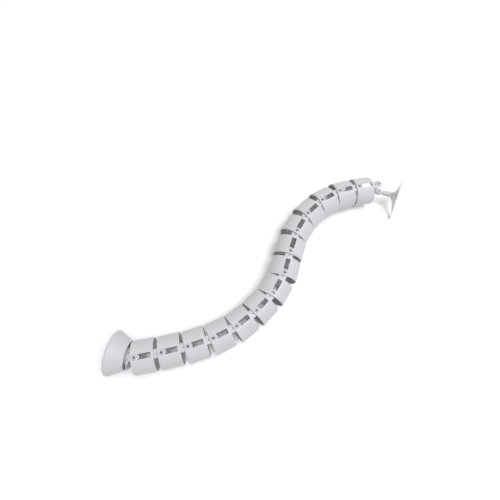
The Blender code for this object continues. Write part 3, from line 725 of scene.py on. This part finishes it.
def cross_bar(sizes, swivel):
    """The bar between the last link's lugs: round, with a pin at each end and a flat tongue."""
    under = sizes.tube_diameter / 2 - sizes.wall - sizes.lug_clearance - sizes.lug_thickness
    shoulder = under - MM
    end = sizes.tube_diameter / 2 - swivel.pin_sunk
    pin = swivel.pin_radius
    half = [(shoulder, swivel.bar_radius, 0.5 * MM), (shoulder, pin, 0.2 * MM),
            (end, pin, 0.6 * MM), (end, 0, 0)]
    corners = [(-x, r, c) for x, r, c in reversed(half)] + half
    bar = turned("bar", rounded(corners, 4, closed=False), sides=64, axis="Z")
    height, reach = swivel.tongue_height / 2, swivel.knuckle_reach
    root, tip, end_round = -2 * MM, reach + height, height * ROUND_END
    outline = rounded([(root, -height, 0.5 * MM), (tip, -height, end_round),
                       (tip, height, end_round), (root, height, 0.5 * MM)], 12)
    thick = swivel.tongue_thickness / 2
    join(bar, "UNION", slab("tongue", outline, (reach / 2, 0), -thick, thick, 0.5 * MM, "Y"))
    bore = drill("bore", BOLT_HOLE, -2 * thick, 2 * thick, sides=48, axis="Y", centre=(reach, 0, 0))
    return join(bar, "DIFFERENCE", bore)


def swivel_fork(swivel):
    """The fork on the cross pin, with the rod and journal that carry the tripod."""
    height = swivel.tongue_height / 2
    slot = swivel.tongue_thickness / 2 + FIT
    cheek = slot + 2.8 * MM
    shoulder = swivel.stem_start - swivel.knuckle_reach - FIT
    journal = swivel.face - swivel.pocket_depth - swivel.knuckle_reach + FIT
    root, end_round, edge = 10 * MM, height * ROUND_END, 1.4 * MM
    outline = rounded([(-height, -height, end_round), (root, -height, edge), (root, height, edge),
                       (-height, height, end_round)], 12)
    fork = slab("fork", outline, (2 * MM, 0), -cheek, cheek, 0.8 * MM, "Y")
    thick, thin = swivel.rod_radius, swivel.journal_radius
    rod = rounded([(root - MM, 0, 0), (root - MM, thick, 0), (shoulder, thick, 0.5 * MM),
                   (shoulder, thin, 0.2 * MM), (journal, thin, 0.4 * MM), (journal, 0, 0)],
                  4, closed=False)
    join(fork, "UNION", turned("rod", rod, sides=64))
    wide, slot_end = 12 * MM, root - 2 * MM
    gap = rounded([(-wide, -wide, 0), (slot_end, -wide, 0), (slot_end, wide, 0), (-wide, wide, 0)])
    return join(fork, "DIFFERENCE", slab("slot", gap, (0, 0), -slot, slot, 0.01 * MM, "Y"),
                drill("bore", BOLT_HOLE, -2 * cheek, 2 * cheek, sides=48, axis="Y"),
                drill("tapping", 1.8 * MM, journal - 10 * MM, journal + MM, sides=32))


def thinned(arm, swivel):
    """Slope an arm's back towards its tip: depth times one less a share that grows with the distance."""
    points = np.empty(3 * len(arm.data.vertices))
    arm.data.vertices.foreach_get("co", points)
    points = points.reshape(-1, 3)
    face = swivel.face - swivel.knuckle_reach
    share = swivel.arm_taper * np.clip(points[:, 2] / swivel.arm_reach, 0, 1)
    points[:, 0] = face - (face - points[:, 0]) * (1 - share)
    arm.data.vertices.foreach_set("co", points.ravel())
    return arm


def tripod(swivel):
    """The moulded bracket: a stem that swells to its hub, three flat arms and a gusset behind each."""
    start, face = swivel.stem_start - swivel.knuckle_reach, swivel.face - swivel.knuckle_reach
    back = face - swivel.arm_thickness
    reach, half, web = swivel.arm_reach, swivel.arm_width / 2, swivel.gusset_thickness / 2
    height, far = swivel.gusset_height, swivel.gusset_reach
    stem = rounded([(start, 0, 0), (start, swivel.stem_radius, 0.8 * MM),
                    (back - 3 * MM, swivel.hub_radius - 0.2 * MM, 0), (back, swivel.hub_radius, 0),
                    (face, swivel.hub_radius, 0.5 * MM), (face, 0, 0)], 5, closed=False)
    stem = turned("stem", stem, sides=96)
    tip_round = half * ROUND_END
    arm = rounded([(-half, 0, 0), (half, 0, 0), (half, reach, tip_round), (-half, reach, tip_round)], 12)
    middle, foot = back + swivel.arm_thickness / 2, 3.2 * MM
    gusset = rounded([(back - height, foot, 0), (middle, foot, 0), (middle, far - 0.4 * MM, 0),
                      (back - 0.1 * MM, far, 0.3 * MM), (back - height * 0.45, far * 0.45, 14 * MM),
                      (back - height, swivel.hub_radius, 2 * MM)], 6)
    hole = [(back - MM, 0), (back - MM, 4.5 * MM), (back + 1.2 * MM, BOLT_HOLE),
            (face + MM, BOLT_HOLE), (face + MM, 0)]
    cuts = []
    for index in range(3):
        turn = Matrix.Rotation(math.radians(120 * index), 4, "X")
        flat = thinned(slab("arm", arm, (0, reach / 2), back, face, 0.6 * MM, "X"), swivel)
        rib = slab("gusset", gusset, (back - 3 * MM, 10 * MM), -web, web, 0.5 * MM, "Y")
        join(stem, "UNION", moved(flat, turn), moved(rib, turn))
        cuts.append(moved(turned("hole", hole, sides=48, centre=(0, 0, reach - 6 * MM)), turn))
    pocket = face - swivel.pocket_depth
    bore, wide = swivel.journal_radius + FIT, 5.8 * MM
    bored = rounded([(start - MM, 0, 0), (start - MM, bore, 0), (pocket, bore, 0), (pocket, wide, 0),
                     (face + MM, wide, 0), (face + MM, 0, 0)], closed=False)
    return join(stem, "DIFFERENCE", turned("bored", bored, sides=64), *cuts)


def finish_piece(obj, name, place, material, body, nodes):
    """Carry a piece to its body's place, shade it, hang it on that body's empty, and hide the CAD nodes it stands
    for.
    """
    obj.data.transform(Matrix(place.tolist()))
    weld(obj.data)
    obj.name = obj.data.name = name
    obj.data.materials.clear()
    obj.data.materials.append(material)
    obj.data.shade_smooth()
    obj.data.set_sharp_from_angle(angle=math.radians(40))
    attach(obj, body)
    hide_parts(*nodes)
    return obj


class Coat:
    """A Principled material, and ways to let its look vary over a piece."""

    def __init__(self, name, colour, roughness, metallic=0.0):
        self.material = bpy.data.materials.new(name)
        self.material.use_nodes = True
        self.nodes, self.links = self.material.node_tree.nodes, self.material.node_tree.links
        self.shader = self.nodes["Principled BSDF"]
        self.shader.inputs["Base Color"].default_value = (*colour, 1)
        self.shader.inputs["Roughness"].default_value = roughness
        self.shader.inputs["Metallic"].default_value = metallic

    def node(self, kind, source, socket, **inputs):
        """A node with one socket fed by a source and some of its inputs set."""
        made = self.nodes.new(kind)
        for name, value in inputs.items():
            made.inputs[name.replace("_", " ")].default_value = value
        self.links.new(source, made.inputs[socket])
        return made

    def noise(self, **inputs):
        """Noise on the object's own coordinates."""
        where = self.nodes.new("ShaderNodeTexCoord").outputs["Object"]
        return self.node("ShaderNodeTexNoise", where, "Vector", **inputs).outputs["Fac"]

    def vary_colour(self, source, low, high, low_at=0.0, high_at=1.0):
        """Colour that goes from low to high as the source does."""
        ramp = self.node("ShaderNodeValToRGB", source, "Fac")
        first, last = ramp.color_ramp.elements
        first.position, first.color = low_at, (*low, 1)
        last.position, last.color = high_at, (*high, 1)
        self.links.new(ramp.outputs["Color"], self.shader.inputs["Base Color"])

    def vary_value(self, source, low, high, socket="Roughness"):
        """A value of the shader that goes from low to high as the source does."""
        scaled = self.node("ShaderNodeMapRange", source, "Value", To_Min=low, To_Max=high)
        self.links.new(scaled.outputs["Result"], self.shader.inputs[socket])

    def roughen(self, source, strength, height):
        """A fine relief that follows the source; its height is in metres."""
        bump = self.node("ShaderNodeBump", source, "Height", Strength=strength, Distance=height)
        self.links.new(bump.outputs["Normal"], self.shader.inputs["Normal"])


def white_plastic(finish, name="white plastic", painted_light=0.0):
    """Moulded white plastic: a soft cloudiness in colour and gloss, and a fine eroded skin. The last argument
    lifts the colour evenly, as painted light.
    """
    # The amount added to the colour here is painted light, not a whiter plastic.
    colour = [part + painted_light for part in finish.plastic_colour]
    coat = Coat(name, colour, finish.plastic_roughness)
    coat.shader.inputs["IOR"].default_value = 1.48
    cloud = coat.noise(Scale=28.0, Detail=3.0, Roughness=0.5)
    shade = (colour[0] * 0.965, colour[1] * 0.965, colour[2] * 0.955)
    coat.vary_colour(cloud, shade, colour, 0.3, 0.7)
    coat.vary_value(cloud, finish.plastic_roughness - 0.04, finish.plastic_roughness + 0.05)
    coat.roughen(coat.noise(Scale=1400.0, Detail=2.0, Roughness=0.6), 0.12, 0.00004)
    return coat.material


def painted_light_plastic(finish):
    """The bracket's plastic: the same moulding with painted light, a shade whiter all over to stand for the
    brighter light that falls on the bracket.
    """
    return white_plastic(finish, "pale plastic", finish.bracket_painted_light)


def zinc_steel(finish):
    """Zinc-plated steel: a cool grey with faint turning marks and patchy gloss."""
    colour = finish.steel_colour
    coat = Coat("zinc steel", colour, 0.34, 1.0)
    patch = coat.noise(Scale=180.0, Detail=4.0, Roughness=0.6)
    coat.vary_value(patch, 0.26, 0.46)
    coat.vary_colour(patch, (colour[0] * 0.88, colour[1] * 0.89, colour[2] * 0.9), colour)
    coat.roughen(coat.noise(Scale=2600.0, Detail=1.0), 0.15, 0.00003)
    return coat.material


def black_rubber(finish):
    """Matt rubber with a grainy skin."""
    coat = Coat("black rubber", finish.rubber_colour, 0.75)
    grain = coat.noise(Scale=900.0, Detail=5.0, Roughness=0.65)
    coat.vary_value(grain, 0.62, 0.86)
    coat.roughen(grain, 0.35, 0.0001)
    return coat.material


def background_rays(nodes, links):
    """1 for a ray that shows the background: one from the camera, a mirror or a clear pane."""
    path = nodes.new("ShaderNodeLightPath")
    output = path.outputs["Is Camera Ray"]
    for name in ("Is Glossy Ray", "Is Transmission Ray"):
        either = nodes.new("ShaderNodeMath")
        either.operation = "MAXIMUM"
        links.new(output, either.inputs[0])
        links.new(path.outputs[name], either.inputs[1])
        output = either.outputs[0]
    return output


def white_paper(shade, lift):
    """White floor: as a background it is lifted, so that it is white where nothing shades it."""
    coat = Coat("white paper", (0.86, 0.86, 0.86), 0.9)
    coat.shader.inputs["Specular IOR Level"].default_value = 0.0
    coat.vary_value(background_rays(coat.nodes, coat.links), shade, lift, "Base Color")
    return coat.material


def shared(name, maker, finish):
    """The material of this name, made on first use."""
    return bpy.data.materials.get(name) or maker(finish)


def dress(names, material):
    """Give CAD nodes a procedural material."""
    for name in names:
        for entry in frame["nodes"][name].material_slots:
            entry.material = material


def length(name, description, millimetres):
    """A size in the sidebar."""
    return bpy.props.FloatProperty(
        name=name, description=description, default=millimetres * MM, unit="LENGTH")


class ConduitSizes(bpy.types.PropertyGroup):
    """Sizes of the moulded pieces."""

    tube_diameter: length("Tube Diameter", "Outside of a link's tube", 72)
    tube_length: length("Tube Length", "Length of a link's tube", 47)
    wall: length("Wall", "Thickness of a link's tube", 2.6)
    edge_round: length("Edge Round", "Radius of a tube's outer edges", 1.8)
    rim_round: length("Rim Round", "Radius of the fine moulded edges", 0.35)
    hinge_inset: length("Hinge Inset", "From a tube's edge to its hinge holes", 8)
    hole_radius: length("Hole Radius", "Hinge hole in a tube", 5.3)
    window_web: length("Window Web", "Plastic between hinge hole and window", 1.5)
    window_length: length("Window Length", "Slot in a link's tube", 26.8)
    window_width: length("Window Width", "Width of that slot", 11)
    window_corner: length("Window Corner", "Corner radius of that slot", 1.5)
    band_width: length("Band Width", "Strip of the tube that holds its openings", 22)
    side_lines: bpy.props.IntProperty(
        name="Side Lines", description="Grid lines on each flank of a tube", default=28, min=8)
    lug_width: length("Lug Width", "Width of a lug", 19)
    lug_thickness: length("Lug Thickness", "Thickness of a lug", 3)
    lug_clearance: length("Lug Clearance", "Between a lug and the next tube", 1.6)
    lug_root: length("Lug Root", "Length of lug moulded to its tube", 4.8)
    peg_radius: length("Peg Radius", "Hinge peg", 4.8)
    peg_bore: length("Peg Bore", "Hole in a hinge peg", 2.9)
    peg_sunk: length("Peg Sunk", "Peg face below the tube's outside", 0.5)
    relief_radius: length("Relief Radius", "Small moulding hole in a lug", 1.5)
    relief_setback: length("Relief Setback", "From a peg to that hole", 10.5)


class FootSizes(bpy.types.PropertyGroup):
    """Sizes of the cone foot."""

    mouth_radius: length("Mouth Radius", "Small end of the cone", 31.2)
    rim_radius: length("Rim Radius", "Wide end of the cone", 48)
    cone_height: length("Cone Height", "Sloping part of the cone", 30.5)
    band_height: length("Band Height", "Rounded band under the rim", 5)
    setback: length("Setback", "From the foot's hinge to the cone's small end", 21)
    neck_clearance: length("Neck Clearance", "From the neck's ball to the first tube's bore", 1)
    neck_reach: length("Neck Reach", "How far the neck stands out of the cone", 5.5)
    neck_waist: length("Neck Waist", "Where the ball gives way to a tube", 4.7)
    neck_radius: length("Neck Radius", "The neck's tube, behind its ball", 18.6)
    relief_radius: length("Relief Radius", "Two small moulding holes in each lug", 1.2)
    relief_setback: length("Relief Setback", "From the hinge to those holes, along the foot", 14.1)
    relief_spread: length("Relief Spread", "From the middle of the lug to those holes", 6.9)
    flare_arc: length("Flare Arc", "Radius of the flare's front edge", 51.3)
    flare_centre: length("Flare Centre", "From the hinge to that arc's centre", 60)
    neck_wall: length("Neck Wall", "Thickness of the neck", 2.4)
    flange_setback: length("Flange Setback", "Depth of the flange in the cone", 7)
    screw_circle: length("Screw Circle", "Radius of the circle of screws", 33.86)
    weight_setback: length("Weight Setback", "From the rim to the weight", 2.2)
    weight_thickness: length("Weight Thickness", "Thickness of the steel ring", 12.7)


class SwivelSizes(bpy.types.PropertyGroup):
    """Sizes of the swivel and the tripod bracket, along the stem from the cross bar."""

    bar_radius: length("Bar Radius", "Cross bar in the last link", 4.5)
    pin_radius: length("Pin Radius", "The bar's ends in the free pegs", 2)
    pin_sunk: length("Pin Sunk", "Those ends below the tube's outside", 3.6)
    tongue_thickness: length("Tongue Thickness", "Tongue of the cross bar", 6)
    tongue_height: length("Tongue Height", "Height of tongue and fork", 11)
    knuckle_reach: length("Knuckle Reach", "From the cross bar to the cross pin", 10.5)
    rod_radius: length("Rod Radius", "Rod behind the fork", 5.2)
    journal_radius: length("Journal Radius", "Journal that the bracket turns on", 3)
    stem_start: length("Stem Start", "Where the stem begins", 26.5)
    stem_radius: length("Stem Radius", "Stem at its start", 6.4)
    hub_radius: length("Hub Radius", "Stem at the arms", 8.2)
    face: length("Face", "Plane that meets the desk", 64.5)
    pocket_depth: length("Pocket Depth", "Pocket for the keeper screw", 12.5)
    arm_reach: length("Arm Reach", "From the stem's middle to an arm's tip", 64)
    arm_width: length("Arm Width", "Width of an arm", 10)
    arm_taper: bpy.props.FloatProperty(
        name="Arm Taper", description="Share of its thickness that an arm loses to its tip", default=0.35)
    arm_thickness: length("Arm Thickness", "Thickness of an arm", 4)
    gusset_thickness: length("Gusset Thickness", "Thickness of a gusset", 4)
    gusset_height: length("Gusset Height", "How far a gusset stands behind its arm", 13)
    gusset_reach: length("Gusset Reach", "Length of a gusset along its arm", 44)


class ConduitFinish(bpy.types.PropertyGroup):
    """Colours and gloss of the pieces."""

    plastic_colour: bpy.props.FloatVectorProperty(
        name="Plastic", description="Colour of the moulded plastic", subtype="COLOR",
        default=(0.735, 0.737, 0.742))
    # Painted light: how much whiter the bracket's copy of the white plastic is painted.
    bracket_painted_light: bpy.props.FloatProperty(
        name="Bracket Pale", description="How much whiter the bracket is", default=0.12, min=0, max=0.2)
    plastic_roughness: bpy.props.FloatProperty(
        name="Plastic Roughness", description="How matt the plastic is", default=0.34, min=0, max=1)
    steel_colour: bpy.props.FloatVectorProperty(
        name="Steel", description="Colour of the plated steel", subtype="COLOR", default=(0.62, 0.63, 0.65))
    rubber_colour: bpy.props.FloatVectorProperty(
        name="Rubber", description="Colour of the foot's pad", subtype="COLOR", default=(0.03, 0.03, 0.03))


class ConduitStudio(bpy.types.PropertyGroup):
    """Camera and light."""

    camera_place: bpy.props.FloatVectorProperty(
        name="Camera", description="Where the camera is", subtype="TRANSLATION",
        default=(-0.20197, -0.14194, 0.75806))
    camera_turn: bpy.props.FloatVectorProperty(
        name="Camera Turn", description="The camera's angles in degrees", default=(21.019, -1.355, -36.849))
    focal_length: bpy.props.FloatProperty(
        name="Focal Length", description="On a 36 mm sensor, in millimetres", default=22.489)
    sky: bpy.props.FloatProperty(
        name="Sky", description="Strength of the light from all round", default=0.432)
    sky_tint: bpy.props.FloatVectorProperty(
        name="Sky Tint", description="Its colour, a little warm", subtype="COLOR",
        default=(1.0, 0.988, 0.885))
    key: bpy.props.FloatProperty(
        name="Key", description="Power of the soft lamp overhead, in watts", default=100.0)
    key_tint: bpy.props.FloatVectorProperty(
        name="Key Tint", description="Its colour, a little cool", subtype="COLOR",
        default=(0.985, 0.995, 1.16))
    key_place: bpy.props.FloatVectorProperty(
        name="Key Place", description="Where that lamp hangs", subtype="TRANSLATION",
        default=(0.8, -0.84, 4.0))
    key_size: bpy.props.FloatProperty(
        name="Key Size", description="Width of that lamp", default=3.0, unit="LENGTH")
    floor_reach: bpy.props.FloatProperty(
        name="Floor Reach", description="From the floor's middle to its edges", default=2.6, unit="LENGTH")
    floor_shade: bpy.props.FloatProperty(
        name="Floor Shade", description="Floor colour that lights the pieces", default=0.67)
    floor_lift: bpy.props.FloatProperty(
        name="Floor Lift", description="Floor colour as the camera sees it", default=1.28)


class CONDUIT_OT_links(bpy.types.Operator):
    """Make the fourteen moulded links, each with windows, hinge holes, lugs and hollow pegs"""

    bl_idname = "conduit.links"
    bl_label = "Make Links"

    def execute(self, context):
        sizes = context.scene.conduit_sizes
        plastic = shared("white plastic", white_plastic, context.scene.conduit_finish)
        pitch = float(np.linalg.norm(spot("hinge_02") - spot("foot_hinge")))
        pattern = link_shell(sizes)
        join(pattern, "UNION", lug(sizes, pitch, *link_lug(sizes, pitch)))
        for index, name in enumerate(LINKS):
            obj = bpy.data.objects.new(name, pattern.data.copy())
            context.scene.collection.objects.link(obj)
            finish_piece(obj, f"moulded_{name}", link_place(index), plastic, name,
                         [name])
        bpy.data.objects.remove(pattern, do_unlink=True)
        return {"FINISHED"}


class CONDUIT_OT_foot(bpy.types.Operator):
    """Make the cone foot: its moulded cover, steel weight, screws and rubber pad"""

    bl_idname = "conduit.foot"
    bl_label = "Make Foot"

    def execute(self, context):
        scene = context.scene
        sizes, foot, finish = scene.conduit_sizes, scene.conduit_foot, scene.conduit_finish
        plastic = shared("white plastic", white_plastic, finish)
        steel = shared("zinc steel", zinc_steel, finish)
        rubber = shared("black rubber", black_rubber, finish)
        place = foot_place()
        finish_piece(foot_cover(sizes, foot), "moulded_cover", place, plastic, "foot",
                     ["base_cover"])
        finish_piece(foot_weight(sizes, foot), "steel_weight", place, steel, "foot",
                     ["base_weight"])
        finish_piece(foot_pad(sizes, foot), "rubber_pad", place, rubber, "foot",
                     ["base_pad"])
        for index, (y, z) in enumerate(screw_places(foot), 1):
            finish_piece(foot_screw(foot, y, z), f"foot_screw_{index}", place, steel, "foot",
                         [f"base_screw_{index}"])
        return {"FINISHED"}


class CONDUIT_OT_bracket(bpy.types.Operator):
    """Make the swivel and the tripod bracket"""

    bl_idname = "conduit.bracket"
    bl_label = "Make Bracket"

    def execute(self, context):
        scene = context.scene
        sizes, swivel, finish = scene.conduit_sizes, scene.conduit_swivel, scene.conduit_finish
        plastic = shared("white plastic", white_plastic, finish)
        # The fork and tripod get the white plastic with painted light, a shade whiter.
        painted_light = shared("pale plastic", painted_light_plastic, finish)
        steel = shared("zinc steel", zinc_steel, finish)
        finish_piece(cross_bar(sizes, swivel), "moulded_bar", bar_place(), plastic, "swivel",
                     ["cross_bar"])
        finish_piece(swivel_fork(swivel), "moulded_fork", fork_place(), painted_light, "fork",
                     ["swivel_fork"])
        finish_piece(tripod(swivel), "moulded_tripod", tripod_place(), painted_light, "bracket",
                     ["tripod_bracket"])
        dress(["cross_pin", "keeper_washer", "keeper_screw"], steel)
        return {"FINISHED"}


class CONDUIT_OT_stage(bpy.types.Operator):
    """Set the floor, the soft lamps and the camera"""

    bl_idname = "conduit.stage"
    bl_label = "Set Stage"

    def execute(self, context):
        studio = context.scene.conduit_studio
        scene = context.scene
        scene.view_settings.view_transform = "Standard"
        lines = np.linspace(-studio.floor_reach, studio.floor_reach, 9)
        xs, ys = np.meshgrid(lines, lines, indexing="ij")
        sheets = Sheets()
        sheets.add(np.stack([xs, ys, np.zeros_like(xs)], -1))
        floor = sheets.build("floor")
        floor.data.materials.append(white_paper(studio.floor_shade, studio.floor_lift))

        world = bpy.data.worlds.new("studio")
        scene.world = world
        world.use_nodes = True
        nodes, links = world.node_tree.nodes, world.node_tree.links
        background = nodes["Background"]
        background.inputs["Strength"].default_value = 1.0
        seen = nodes.new("ShaderNodeMix")
        seen.data_type = "RGBA"
        links.new(background_rays(nodes, links), seen.inputs["Factor"])
        light, white = [socket for socket in seen.inputs if socket.type == "RGBA"]
        light.default_value = (*(studio.sky * part for part in studio.sky_tint), 1)
        white.default_value = (1, 1, 1, 1)
        shown = next(socket for socket in seen.outputs if socket.type == "RGBA")
        links.new(shown, background.inputs["Color"])

        lamp = bpy.data.lights.new("key", "AREA")
        lamp.shape, lamp.size = "DISK", studio.key_size
        lamp.energy, lamp.color = studio.key, studio.key_tint
        key = bpy.data.objects.new("key", lamp)
        key.location = studio.key_place
        key.rotation_euler = Vector(key.location).to_track_quat("Z", "Y").to_euler()
        scene.collection.objects.link(key)

        lens = bpy.data.cameras.new("camera")
        lens.lens = studio.focal_length
        lens.sensor_width = 36
        lens.clip_start = 0.01
        camera = bpy.data.objects.new("camera", lens)
        camera.location = studio.camera_place
        camera.rotation_euler = [math.radians(angle) for angle in studio.camera_turn]
        scene.collection.objects.link(camera)
        scene.camera = camera
        return {"FINISHED"}


class CONDUIT_PT_panel(bpy.types.Panel):
    """Sizes, finishes and steps of the conduit"""

    bl_idname = "CONDUIT_PT_panel"
    bl_label = "Cable Conduit"
    bl_space_type = "VIEW_3D"
    bl_region_type = "UI"
    bl_category = "Conduit"

    def draw(self, context):
        for operator in OPERATORS:
            self.layout.operator(operator.bl_idname)
        scene = context.scene
        for group in (scene.conduit_sizes, scene.conduit_foot, scene.conduit_swivel, scene.conduit_finish,
                      scene.conduit_studio):
            for name in group.bl_rna.properties.keys():
                if name not in ("rna_type", "name"):
                    self.layout.prop(group, name)


OPERATORS = (CONDUIT_OT_links, CONDUIT_OT_foot, CONDUIT_OT_bracket, CONDUIT_OT_stage)
GROUPS = (ConduitSizes, FootSizes, SwivelSizes, ConduitFinish, ConduitStudio)
CLASSES = (*GROUPS, *OPERATORS, CONDUIT_PT_panel)


def register():
    """Register the classes and hang the property groups on the scene."""
    for cls in CLASSES:
        bpy.utils.register_class(cls)
    bpy.types.Scene.conduit_sizes = bpy.props.PointerProperty(type=ConduitSizes)
    bpy.types.Scene.conduit_foot = bpy.props.PointerProperty(type=FootSizes)
    bpy.types.Scene.conduit_swivel = bpy.props.PointerProperty(type=SwivelSizes)
    bpy.types.Scene.conduit_finish = bpy.props.PointerProperty(type=ConduitFinish)
    bpy.types.Scene.conduit_studio = bpy.props.PointerProperty(type=ConduitStudio)


def unregister():
    """Take the property groups off the scene and unregister the classes."""
    del bpy.types.Scene.conduit_sizes
    del bpy.types.Scene.conduit_foot
    del bpy.types.Scene.conduit_swivel
    del bpy.types.Scene.conduit_finish
    del bpy.types.Scene.conduit_studio
    for cls in reversed(CLASSES):
        bpy.utils.unregister_class(cls)


def main():
    """Run every step."""
    register()
    bpy.ops.conduit.links()
    bpy.ops.conduit.foot()
    bpy.ops.conduit.bracket()
    bpy.ops.conduit.stage()


if __name__ == "__main__":
    main()
